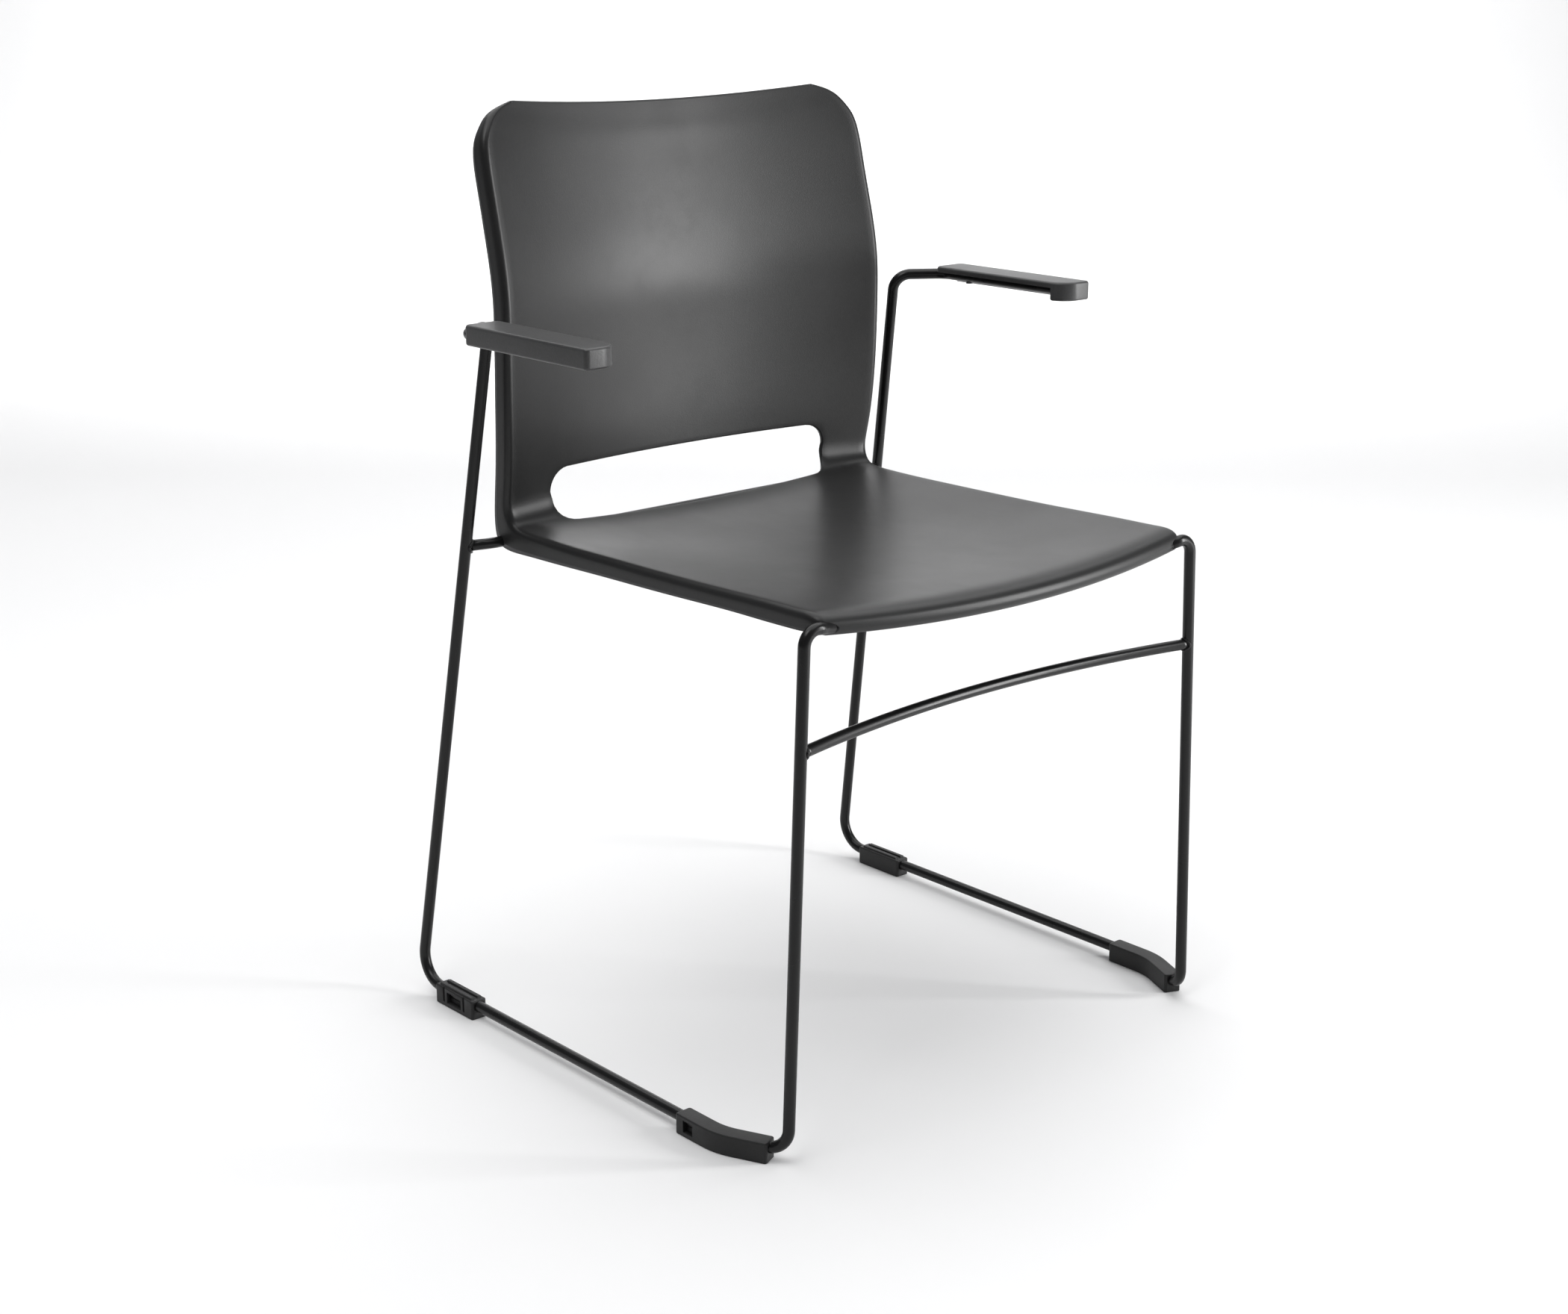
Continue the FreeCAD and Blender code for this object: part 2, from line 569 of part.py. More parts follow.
# front glide follows the rod where it turns inward
pA = V(RUNNER_X, -138.0, 0)
corner_p = V(RUNNER_X, -185.0, 0)
end_p = V(LEG_X0, LEG_Y, 0)
a = corner_p.sub(pA)
a.normalize()
b = end_p.sub(corner_p)
b.normalize()
turn = a.getAngle(b)
rad = 62.0
t = rad * math.tan(turn / 2)
p1 = corner_p.sub(a * t)
p2 = corner_p.add(b * t)
stop = corner_p.add(b * 45.0)
axis = Vec(0, 0, 1)
cen = p1.add(Vec(-1, 0, 0) * rad)
nb = Vec(b.y, -b.x, 0)
if nb.x < 0:
    nb = nb * -1
mid_ang = turn / 2


def plan_pt(ang, r):
    return Vec(cen.x + r * math.cos(ang), cen.y - r * math.sin(ang), 0)


ro, ri = rad + hw, rad - hw
es = [
    Part.makeLine(Vec(RUNNER_X + hw, pA.y, 0), Vec(RUNNER_X + hw, p1.y, 0)),
    Part.Arc(plan_pt(0, ro), plan_pt(mid_ang, ro), plan_pt(turn, ro)).toShape(),
    Part.makeLine(plan_pt(turn, ro), stop.add(nb * hw)),
    Part.makeLine(stop.add(nb * hw), stop.sub(nb * hw)),
    Part.makeLine(stop.sub(nb * hw), plan_pt(turn, ri)),
    Part.Arc(plan_pt(turn, ri), plan_pt(mid_ang, ri), plan_pt(0, ri)).toShape(),
    Part.makeLine(Vec(RUNNER_X - hw, p1.y, 0), Vec(RUNNER_X - hw, pA.y, 0)),
    Part.makeLine(Vec(RUNNER_X - hw, pA.y, 0), Vec(RUNNER_X + hw, pA.y, 0)),
]
g = Part.Face(Part.Wire(es)).extrude(Vec(0, 0, GLIDE_H))
vert = [e for e in g.Edges if e.BoundBox.ZLength > GLIDE_H - 0.1 and
        (abs(e.BoundBox.YMin - pA.y) < 0.01 or e.BoundBox.YMax < stop.y + hw)]
try:
    g = g.makeFillet(2.4, vert)
    g = g.makeFillet(1.2, [e for e in g.Edges if e.BoundBox.ZMin > GLIDE_H - 0.01])
    g = g.makeFillet(1.0, [e for e in g.Edges if e.BoundBox.ZMax < 0.01])
except Exception as ex:
    print("front glide fillet", ex)
g = g.cut(Part.makeBox(6.0, 12.0, 10.5, V(RUNNER_X + 3.2, -160.0, 4.0)))
front_g, front_s = glide_finish(g, RUNNER_X, -154.0)
parts["front_glide_left"] = front_g
parts["front_glide_screw_left"] = front_s

# ------------------------------------------------------------ write out
parts["side_frame_left"] = side_l_full if side_l_full.ShapeType == "Solid" else side_l_full.Solids[0]
parts["seat_rail_left"] = seat_rail_l
parts["back_support_left"] = back_rod_l
single = {"front_seat_rail": front_rail, "front_crossbar": crossbar, "rear_crossbar": rearbar, "shell": shell}

lo = Vec(1e9, 1e9, 1e9)
hi = Vec(-1e9, -1e9, -1e9)
for name, s in list(parts.items()):
    export(name, s)
    m = mirrored(s)
    export(name.replace("_left", "_right"), m)
for name, s in single.items():
    export(name, s)
for s in list(parts.values()) + list(single.values()):
    b = s.optimalBoundingBox(False) if hasattr(s, "optimalBoundingBox") else s.BoundBox
    lo = Vec(min(lo.x, b.XMin), min(lo.y, b.YMin), min(lo.z, b.ZMin))
    hi = Vec(max(hi.x, b.XMax), max(hi.y, b.YMax), max(hi.z, b.ZMax))
print("bbox y %.2f .. %.2f (centre %.3f)  x max %.2f  z %.2f .. %.2f" % (lo.y, hi.y, (lo.y + hi.y) / 2, hi.x, lo.z, hi.z))
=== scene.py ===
import bpy, bmesh, math
import numpy as np
from mathutils import Vector, Matrix


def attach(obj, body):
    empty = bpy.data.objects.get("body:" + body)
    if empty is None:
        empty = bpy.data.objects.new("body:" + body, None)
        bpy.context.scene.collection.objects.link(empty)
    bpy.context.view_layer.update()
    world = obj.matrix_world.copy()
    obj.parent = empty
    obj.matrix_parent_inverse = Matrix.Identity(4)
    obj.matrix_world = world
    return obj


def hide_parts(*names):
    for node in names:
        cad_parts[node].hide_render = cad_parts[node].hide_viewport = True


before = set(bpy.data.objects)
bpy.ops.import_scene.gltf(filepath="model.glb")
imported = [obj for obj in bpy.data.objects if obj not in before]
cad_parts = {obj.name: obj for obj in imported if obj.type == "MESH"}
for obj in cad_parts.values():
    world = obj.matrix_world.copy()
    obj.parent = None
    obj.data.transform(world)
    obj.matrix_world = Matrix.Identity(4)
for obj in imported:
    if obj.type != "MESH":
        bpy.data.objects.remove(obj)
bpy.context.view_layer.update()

MM = 0.001
YS = 10.117                     # same front-to-back shift as the CAD

scene = bpy.context.scene
rng = np.random.default_rng(7)


# ===================================================================== helpers
def v3(x, y, z):
    return Vector((x * MM, (y + YS) * MM, z * MM))


def add_obj(name, verts, faces, mat, node=None, smooth=True, mods=True):
    me = bpy.data.meshes.new(name)
    me.from_pydata([tuple(v) for v in verts], [], [tuple(f) for f in faces])
    me.validate()
    me.update()
    if smooth:
        me.polygons.foreach_set("use_smooth", [True] * len(me.polygons))
    o = bpy.data.objects.new(name, me)
    scene.collection.objects.link(o)
    o.data.materials.append(mat)
    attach(o, "root")
    if node:
        for n in ([node] if isinstance(node, str) else node):
            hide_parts(n)
    return o


def mirror_verts(vs):
    return [Vector((-v[0], v[1], v[2])) for v in vs]


def add_pair(base, verts, faces, mat, node=None, smooth=True):
    """left piece and its mirror image"""
    a = add_obj(base + "_left_skin", verts, faces, mat, node + "_left" if node else None, smooth)
    b = add_obj(base + "_right_skin", mirror_verts(verts), [tuple(reversed(f)) for f in faces], mat,
                node + "_right" if node else None, smooth)
    return a, b


# ===================================================================== materials
def new_mat(name):
    m = bpy.data.materials.new(name)
    m.use_nodes = True
    nt = m.node_tree
    for n in list(nt.nodes):
        nt.nodes.remove(n)
    out = nt.nodes.new("ShaderNodeOutputMaterial")
    b = nt.nodes.new("ShaderNodeBsdfPrincipled")
    nt.links.new(b.outputs["BSDF"], out.inputs["Surface"])
    co = nt.nodes.new("ShaderNodeTexCoord")
    return m, nt, b, co


def noise(nt, co, scale, detail=3.0, rough=0.5, stretch=None):
    src = co.outputs["Object"]
    if stretch:
        mp = nt.nodes.new("ShaderNodeMapping")
        mp.inputs["Scale"].default_value = stretch
        nt.links.new(src, mp.inputs["Vector"])
        src = mp.outputs["Vector"]
    n = nt.nodes.new("ShaderNodeTexNoise")
    n.inputs["Scale"].default_value = scale
    n.inputs["Detail"].default_value = detail
    n.inputs["Roughness"].default_value = rough
    nt.links.new(src, n.inputs["Vector"])
    return n.outputs["Fac"]


def ramp(nt, fac, stops):
    r = nt.nodes.new("ShaderNodeValToRGB")
    els = r.color_ramp.elements
    while len(els) > 1:
        els.remove(els[-1])
    els[0].position = stops[0][0]
    els[0].color = stops[0][1]
    for p, c in stops[1:]:
        e = els.new(p)
        e.color = c
    nt.links.new(fac, r.inputs["Fac"])
    return r.outputs["Color"]


def g(v, a=1.0):
    return (v, v, v * 1.01, a)


def maprange(nt, fac, a, b, lo, hi):
    m = nt.nodes.new("ShaderNodeMapRange")
    m.inputs["From Min"].default_value = a
    m.inputs["From Max"].default_value = b
    m.inputs["To Min"].default_value = lo
    m.inputs["To Max"].default_value = hi
    nt.links.new(fac, m.inputs["Value"])
    return m.outputs["Result"]


def math_node(nt, op, a, b=None, clamp=False):
    m = nt.nodes.new("ShaderNodeMath")
    m.operation = op
    m.use_clamp = clamp
    for i, s in enumerate((a, b)):
        if s is None:
            continue
        if isinstance(s, (int, float)):
            m.inputs[i].default_value = s
        else:
            nt.links.new(s, m.inputs[i])
    return m.outputs[0]


def mixrgb(nt, fac, a, b):
    m = nt.nodes.new("ShaderNodeMix")
    m.data_type = "RGBA"
    if isinstance(fac, (int, float)):
        m.inputs[0].default_value = fac
    else:
        nt.links.new(fac, m.inputs[0])
    for sock, v in ((m.inputs[6], a), (m.inputs[7], b)):
        if isinstance(v, tuple):
            sock.default_value = v
        else:
            nt.links.new(v, sock)
    return m.outputs[2]


def bump(nt, height, strength, dist, prev=None):
    b = nt.nodes.new("ShaderNodeBump")
    b.inputs["Strength"].default_value = strength
    b.inputs["Distance"].default_value = dist
    nt.links.new(height, b.inputs["Height"])
    if prev is not None:
        nt.links.new(prev, b.inputs["Normal"])
    return b.outputs["Normal"]


def edge_mask(nt, lo=0.52, hi=0.62):
    geo = nt.nodes.new("ShaderNodeNewGeometry")
    return maprange(nt, geo.outputs["Pointiness"], lo, hi, 0.0, 1.0)


def plastic(name, dark, light, r_lo, r_hi, grain, grain_d, spec, edge=0.02, scuff=0.05):
    m, nt, b, co = new_mat(name)
    big = noise(nt, co, 9.0, 4.0, 0.55)
    fine = noise(nt, co, grain, 2.0, 0.6)
    speck = noise(nt, co, grain * 0.32, 3.0, 0.6)
    col = ramp(nt, big, [(0.32, g(dark)), (0.68, g(light))])
    col = mixrgb(nt, maprange(nt, speck, 0.45, 0.75, 0.0, 0.35), col, g(light * 1.35))
    wear = math_node(nt, "MULTIPLY", edge_mask(nt), maprange(nt, noise(nt, co, 60.0, 4.0), 0.4, 0.7, 0.15, 1.0))
    col = mixrgb(nt, wear, col, g(light + edge))
    nt.links.new(col, b.inputs["Base Color"])
    sc = noise(nt, co, 26.0, 5.0, 0.65, (1.0, 0.25, 1.0))
    r = math_node(nt, "ADD", maprange(nt, big, 0.3, 0.7, r_lo, r_hi), maprange(nt, sc, 0.5, 0.8, 0.0, scuff))
    nt.links.new(r, b.inputs["Roughness"])
    vor = nt.nodes.new("ShaderNodeTexVoronoi")
    vor.inputs["Scale"].default_value = grain * 0.6
    nt.links.new(co.outputs["Object"], vor.inputs["Vector"])
    n1 = bump(nt, vor.outputs["Distance"], 0.30, grain_d)
    n2 = bump(nt, fine, 0.35, grain_d, n1)
    n3 = bump(nt, noise(nt, co, 5.0, 1.0), 0.08, 0.0015, n2)
    nt.links.new(n3, b.inputs["Normal"])
    b.inputs["Specular IOR Level"].default_value = spec
    b.inputs["Sheen Weight"].default_value = 0.05
    b.inputs["Sheen Roughness"].default_value = 0.5
    return m


def coated(name, dark, light, rough, coat):
    """powder coat on round rod: fine orange peel, faint wear"""
    m, nt, b, co = new_mat(name)
    big = noise(nt, co, 14.0, 4.0, 0.5)
    peel = noise(nt, co, 420.0, 2.0, 0.5)
    fine = noise(nt, co, 1700.0, 2.0, 0.6)
    col = ramp(nt, big, [(0.3, g(dark)), (0.7, g(light))])
    wear = maprange(nt, noise(nt, co, 90.0, 6.0, 0.7), 0.66, 0.74, 0.0, 0.25)
    col = mixrgb(nt, wear, col, g(light * 1.9))
    nt.links.new(col, b.inputs["Base Color"])
    r = math_node(nt, "ADD", maprange(nt, big, 0.3, 0.7, rough - 0.03, rough + 0.05),
                  maprange(nt, wear, 0.0, 0.25, 0.0, 0.08))
    nt.links.new(r, b.inputs["Roughness"])
    n1 = bump(nt, peel, 0.18, 0.00012)
    n2 = bump(nt, fine, 0.15, 0.00004, n1)
    nt.links.new(n2, b.inputs["Normal"])
    b.inputs["Specular IOR Level"].default_value = 0.24
    b.inputs["Coat Weight"].default_value = coat
    b.inputs["Coat Roughness"].default_value = 0.18
    return m


def steel(name):
    m, nt, b, co = new_mat(name)
    n = noise(nt, co, 160.0, 4.0, 0.6)
    col = ramp(nt, n, [(0.3, (0.05, 0.05, 0.053, 1)), (0.7, (0.12, 0.12, 0.125, 1))])
    nt.links.new(col, b.inputs["Base Color"])
    nt.links.new(maprange(nt, n, 0.3, 0.7, 0.28, 0.45), b.inputs["Roughness"])
    nt.links.new(bump(nt, noise(nt, co, 900.0, 3.0), 0.2, 0.00005), b.inputs["Normal"])
    b.inputs["Metallic"].default_value = 0.9
    return m


M_ROD = coated("rod_coat", 0.0045, 0.0080, 0.28, 0.10)
M_SHELL = plastic("shell_moulding", 0.0080, 0.0115, 0.33, 0.38, 1500.0, 0.00009, 0.30, 0.010, 0.03)
M_PAD = plastic("arm_pad_moulding", 0.032, 0.042, 0.36, 0.44, 1100.0, 0.00012, 0.45, 0.016, 0.06)
M_GLIDE = plastic("glide_moulding", 0.0075, 0.0120, 0.42, 0.52, 1300.0, 0.00010, 0.32, 0.014, 0.08)
M_SCREW = steel("screw_blackened")


# ===================================================================== splines
def natural_spline(xs, ys):
    """second derivatives of a natural cubic spline; ys may have several channels"""
    n = len(xs)
    A = np.zeros((n, n))
    B = np.zeros((n, ys.shape[1]))
    A[0, 0] = A[-1, -1] = 1.0
    h = np.diff(xs)
    for i in range(1, n - 1):
        A[i, i - 1] = h[i - 1]
        A[i, i] = 2 * (h[i - 1] + h[i])
        A[i, i + 1] = h[i]
        B[i] = 6 * ((ys[i + 1] - ys[i]) / h[i] - (ys[i] - ys[i - 1]) / h[i - 1])
    return np.linalg.solve(A, B)


def spline_eval(xs, ys, m, t):
    t = np.atleast_1d(t)
    i = np.clip(np.searchsorted(xs, t) - 1, 0, len(xs) - 2)
    h = (xs[i + 1] - xs[i])[:, None]
    a = ((xs[i + 1] - t)[:, None]) / h
    b = ((t - xs[i])[:, None]) / h
    return a * ys[i] + b * ys[i + 1] + ((a ** 3 - a) * m[i] + (b ** 3 - b) * m[i + 1]) * h * h / 6


# ===================================================================== shell
ROWS = np.array([
    (-239.2, 429.2, -257.0, 421.2, -233.4, 432.0, 206.0),
    (-241.8, 433.7, -261.0, 425.5, -233.8, 433.7, 208.0),
    (-241.8, 439.0, -261.4, 431.1, -233.2, 434.3, 209.3),
    (-238.0, 443.9, -257.6, 436.1, -231.6, 432.5, 210.3),
    (-231.0, 446.7, -250.0, 438.9, -227.6, 430.6, 211.1),
    (-215.5, 447.3, -232.0, 439.4, -213.8, 429.4, 211.5),
    (-185.0, 446.8, -198.0, 437.5, -184.0, 428.8, 211.5),
    (-140.0, 445.8, -148.0, 434.3, -139.5, 428.4, 211.5),
    (-90.0, 444.5, -95.0, 431.6, -89.5, 427.0, 211.5),
    (-30.0, 443.6, -35.0, 429.5, -29.0, 425.4, 211.5),
    (30.0, 443.1, 25.0, 428.8, 33.0, 424.2, 211.5),
    (85.0, 442.8, 80.0, 429.7, 93.0, 422.8, 211.5),
    (120.0, 443.2, 118.0, 432.0, 137.0, 422.2, 211.5),
    (138.5, 444.2, 142.5, 435.8, 161.0, 423.2, 212.1),
    (147.8, 447.2, 156.5, 441.0, 171.0, 428.0, 212.8),
    (152.6, 453.2, 166.0, 448.4, 174.5, 437.5, 213.5),
    (154.6, 461.2, 172.0, 458.3, 174.6, 451.0, 214.3),
    (152.9, 473.0, 174.4, 470.5, 172.8, 467.5, 215.0),
    (149.2, 492.0, 174.6, 489.5, 169.6, 490.0, 215.8),
    (146.0, 518.0, 174.2, 516.0, 166.4, 518.5, 216.7),
    (143.9, 548.0, 174.2, 547.0, 164.4, 549.0, 217.4),
    (142.8, 580.0, 173.8, 579.5, 162.8, 581.0, 217.7),
    (142.2, 612.0, 172.6, 610.5, 162.2, 612.5, 217.7),
    (142.9, 641.0, 171.6, 638.5, 162.6, 639.0, 217.5),
    (147.6, 673.0, 174.9, 669.5, 166.9, 669.0, 217.1),
    (155.2, 705.0, 182.0, 701.0, 174.4, 700.5, 216.5),
    (163.0, 736.3, 189.7, 731.8, 182.0, 731.8, 216.1),
    (169.7, 763.1, 196.2, 757.6, 188.2, 758.6, 214.9),
    (174.1, 776.5, 199.2, 769.5, 190.4, 772.0, 211.5),
    (178.9, 787.5, 201.9, 779.2, 192.3, 783.5, 204.1),
    (185.1, 798.0, 204.5, 788.8, 194.6, 794.6, 190.3),
    (191.4, 803.9, 206.7, 797.0, 197.0, 801.5, 168.5),
])
d_e = np.hypot(np.diff(ROWS[:, 0]), np.diff(ROWS[:, 1]))
d_c = np.hypot(np.diff(ROWS[:, 2]), np.diff(ROWS[:, 3]))
S_KNOT = np.concatenate([[0], np.cumsum(0.5 * (d_e + d_c))])
S_END = S_KNOT[-1]
S_M = natural_spline(S_KNOT, ROWS)
SHELL_T = 4.2
RIM = 1.7                                   # how far the rounded rim stands out past the sheet
SHELL_R = 7.0


def row_at(s):
    return spline_eval(S_KNOT, ROWS, S_M, s)


def surf(s, kind, a):
    """s: row position. kind 0 dish with a in -1..1; kind 1 corner with a = signed angle fraction; kind 2 flange"""
    R = row_at(s)
    ey, ez, cy, cz, gy, gz, w = [R[:, k] for k in range(7)]
    depth = np.hypot(gy - ey, gz - ez)
    fy, fz = (gy - ey) / depth, (gz - ez) / depth
    depth = depth - RIM
    r = np.minimum(SHELL_R, (depth + RIM) * 0.62)
    sign = np.sign(a)
    q = np.abs(a)
    if kind == 0:
        x = q * (w - r)
        d = 0 * x
    elif kind == 1:
        x = w - r + r * np.sin(q * math.pi / 2)
        d = r * (1 - np.cos(q * math.pi / 2))
    else:
        x = w + 0 * q
        d = r + (depth - r) * q
    k = np.minimum((x / w) ** 2, 1.0)
    y = cy + (ey - cy) * k + fy * d
    z = cz + (ez - cz) * k + fz * d
    return np.stack([np.where(sign < 0, -x, x), y, z], 1)


def pt_x(s, x):
    """point of the dish at sideways position x"""
    s = np.atleast_1d(s)
    R = row_at(s)
    k = (x / R[:, 6]) ** 2
    return np.stack([0 * s + x, R[:, 2] + (R[:, 0] - R[:, 2]) * k, R[:, 3] + (R[:, 1] - R[:, 3]) * k], 1)


def solve_s(x, axis, target, lo, hi):
    """row position where the dish at x has y (axis 1) or z (axis 2) equal to target"""
    ss = np.linspace(lo, hi, 1200)
    v = pt_x(ss, x)[:, axis] - target
    cross = np.where((v[:-1] < 0) & (v[1:] >= 0))[0]
    if not len(cross):
        return None
    i = cross[0]
    t = -v[i] / (v[i + 1] - v[i])
    return ss[i] + t * (ss[i + 1] - ss[i])


# rows: fine in the rim and the crease, coarser on the flats
def rows_s():
    dens = [(0.0, 1.3), (26.0, 1.6), (45.0, 4.5), (S_KNOT[11], 5.0), (S_KNOT[12] + 10, 2.4), (S_KNOT[18], 2.6),
            (S_KNOT[20], 5.0), (S_KNOT[26], 5.0), (S_KNOT[28], 2.2), (S_END, 1.5)]
    ps, hs = zip(*dens)
    out = [RIM]
    while out[-1] < S_END - RIM:
        out.append(out[-1] + float(np.interp(out[-1], ps, hs)))
    out = np.array(out)
    return RIM + (out - RIM) * ((S_END - RIM - RIM) / (out[-1] - RIM))


SR = rows_s()
NR = len(SR)
MD = 38                                    # dish columns each side
half_dish = np.linspace(0, 1, MD + 1)
CORN = np.linspace(0, 1, 7)[1:]
FLAN = np.linspace(0, 1, 5)[1:]
cols = [(2, -a) for a in FLAN[::-1]] + [(1, -a) for a in CORN[::-1]] + \
       [(0, a) for a in np.concatenate([-half_dish[::-1], half_dish[1:]])] + \
       [(1, a) for a in CORN] + [(2, a) for a in FLAN]
NC = len(cols)
D0 = len(CORN) + len(FLAN)                 # first dish column
P = np.zeros((NR, NC, 3))
for j, (kind, a) in enumerate(cols):
    P[:, j] = surf(SR, kind, np.full(NR, a) if a != 0 else np.full(NR, 1e-9))
jc = D0 + MD

# slot outline in (x, s), half with x >= 0
SX, SY, SZ, SRAD = 161.0 + RIM, 151.0 - RIM, 487.0 + RIM, 20.0 + RIM
s_lo, s_hi = S_KNOT[9], S_KNOT[21]
low = []
for x in np.linspace(0, SX - SRAD, 40)[:-1]:
    low.append((x, solve_s(x, 1, SY, s_lo, s_hi)))
for th in np.radians(np.linspace(0, 84, 30)):
    x = SX - SRAD + SRAD * math.sin(th)
    s = solve_s(x, 1, SY + SRAD * (1 - math.cos(th)), s_lo, s_hi)
    if s is None:
        break
    low.append((x, s))
up = []
for x in np.linspace(0, SX - SRAD, 40)[:-1]:
    up.append((x, solve_s(x, 2, SZ, s_lo, s_hi)))
for th in np.radians(np.linspace(0, 90, 24)):
    x = SX - SRAD + SRAD * math.sin(th)
    up.append((x, solve_s(x, 2, SZ - SRAD * (1 - math.cos(th)), s_lo, s_hi)))
path = np.array(low + up[::-1])            # from bottom middle round to top middle
# smooth the join
keep = [0]
for i in range(1, len(path)):
    if np.hypot(*(path[i] - path[keep[-1]])) > 0.4:
        keep.append(i)
path = path[keep]
plen = np.concatenate([[0], np.cumsum(np.hypot(*np.diff(path, axis=0).T))])


def near_len(x, s):
    return plen[np.argmin(np.hypot(path[:, 0] - x, path[:, 1] - s))]


k45 = math.sin(math.radians(50))
l_low = near_len(SX - SRAD + SRAD * k45, low[-1][1] - 6)
x45 = SX - SRAD + SRAD * math.sin(math.pi / 4)
l_up = near_len(x45, solve_s(x45, 2, SZ - SRAD * (1 - math.cos(math.pi / 4)), s_lo, s_hi))


def along(l):
    return np.stack([np.interp(l, plen, path[:, 0]), np.interp(l, plen, path[:, 1])], 1)


i_a = int(np.argmin(np.abs(SR - path[0, 1])))
i_b = int(np.argmin(np.abs(SR - path[-1, 1])))
xs_mid = P[(i_a + i_b) // 2, :, 0]
j_b = int(np.argmin(np.abs(xs_mid - (SX - 4))))
j_a = 2 * jc - j_b
XS = np.zeros((NR, NC, 2))
XS[:, :, 0] = P[:, :, 0]
XS[:, :, 1] = SR[:, None]
fixed = np.ones((NR, NC), bool)
w0, w1 = max(i_a - 16, 4), min(i_b + 16, NR - 5)
fixed[w0:w1 + 1, D0 + 1:NC - D0 - 1] = False
hole_v = np.zeros((NR, NC), bool)
hole_v[i_a:i_b + 1, j_a:j_b + 1] = True
n_low = j_b - jc + 1
bot = along(np.linspace(0, l_low, n_low))
side = along(np.linspace(l_low, l_up, i_b - i_a + 1))
top = along(np.linspace(l_up, plen[-1], n_low))
for q in range(n_low):
    XS[i_a, jc + q] = bot[q]
    XS[i_a, jc - q] = (-bot[q][0], bot[q][1])
    XS[i_b, j_b - q] = top[q]
    XS[i_b, 2 * jc - (j_b - q)] = (-top[q][0], top[q][1])
for q in range(i_b - i_a + 1):
    XS[i_a + q, j_b] = side[q]
    XS[i_a + q, j_a] = (-side[q][0], side[q][1])
fixed |= hole_v
for _ in range(900):
    avg = XS.copy()
    avg[1:-1, 1:-1] = 0.25 * (XS[2:, 1:-1] + XS[:-2, 1:-1] + XS[1:-1, 2:] + XS[1:-1, :-2])
    XS = np.where(fixed[:, :, None], XS, avg)
moved = np.zeros((NR, NC), bool)
moved[w0:w1 + 1, D0 + 1:NC - D0 - 1] = True
idx = np.argwhere(moved)
ss = XS[idx[:, 0], idx[:, 1], 1]
xx = XS[idx[:, 0], idx[:, 1], 0]
R = row_at(ss)
k = (xx / R[:, 6]) ** 2
P[idx[:, 0], idx[:, 1]] = np.stack([xx, R[:, 2] + (R[:, 0] - R[:, 2]) * k, R[:, 3] + (R[:, 1] - R[:, 3]) * k], 1)

face_on = np.ones((NR - 1, NC - 1), bool)
face_on[i_a:i_b, j_a:j_b] = False
used = np.zeros((NR, NC), bool)
for di in (0, 1):
    for dj in (0, 1):
        used[di:NR - 1 + di, dj:NC - 1 + dj] |= face_on

# vertex normals of the outer sheet, towards the sitter
Nrm = np.zeros_like(P)
fi, fj = np.nonzero(face_on)
A, B, C, D = P[fi, fj], P[fi, fj + 1], P[fi + 1, fj + 1], P[fi + 1, fj]
fn = np.cross(C - A, D - B)
for (a, b) in ((fi, fj), (fi, fj + 1), (fi + 1, fj + 1), (fi + 1, fj)):
    np.add.at(Nrm, (a, b), fn)
Nrm /= np.maximum(np.linalg.norm(Nrm, axis=2, keepdims=True), 1e-9)
if Nrm[NR // 3, jc, 2] < 0:
    Nrm = -Nrm
T = np.full(NR, SHELL_T)
T = np.where(SR < 24, 2.9 + (SHELL_T - 2.9) * SR / 24.0, T)
T = np.where(SR > S_END - 60, 3.3 + (SHELL_T - 3.3) * (S_END - SR) / 60.0, T)
TH = np.repeat(T[:, None], NC, 1)
Q = P - Nrm * TH[:, :, None]

verts, faces = [], []
idO = -np.ones((NR, NC), int)
idI = -np.ones((NR, NC), int)
for i in range(NR):
    for j in range(NC):
        if used[i, j]:
            idO[i, j] = len(verts)
            verts.append(P[i, j])
            idI[i, j] = len(verts)
            verts.append(Q[i, j])
flip = fn[len(fn) // 3] @ Nrm[fi[len(fn) // 3], fj[len(fn) // 3]] < 0
for i, j in zip(fi, fj):
    q = (idO[i, j], idO[i, j + 1], idO[i + 1, j + 1], idO[i + 1, j])
    p = (idI[i, j], idI[i + 1, j], idI[i + 1, j + 1], idI[i, j + 1])
    faces.append(q[::-1] if flip else q)
    faces.append(p[::-1] if flip else p)


def rim(loop, outward):
    """rounded edge strip along a closed loop of grid points"""
    K = 8
    n = len(loop)
    rings = []
    for k in range(n):
        i, j = loop[k]
        ip, jp = loop[(k - 1) % n]
        iq, jq = loop[(k + 1) % n]
        t = P[iq, jq] - P[ip, jp]
        t /= np.linalg.norm(t)
        b = np.cross(t, Nrm[i, j])
        b /= np.linalg.norm(b)
        b *= outward
        th = TH[i, j]
        mid = (P[i, j] + Q[i, j]) / 2
        row = [idO[i, j]]
        for q in range(1, K):
            ph = math.pi * q / K
            c, s = math.cos(ph), math.sin(ph)
            c = math.copysign(abs(c) ** 0.62, c)
            s = abs(s) ** 0.62
            row.append(len(verts))
            verts.append(mid + Nrm[i, j] * (c * th / 2) + b * (s * RIM))
        row.append(idI[i, j])
        rings.append(row)
    for k in range(n):
        a, b2 = rings[k], rings[(k + 1) % n]
        for q in range(K):
            f = (a[q], a[q + 1], b2[q + 1], b2[q])
            faces.append(f)


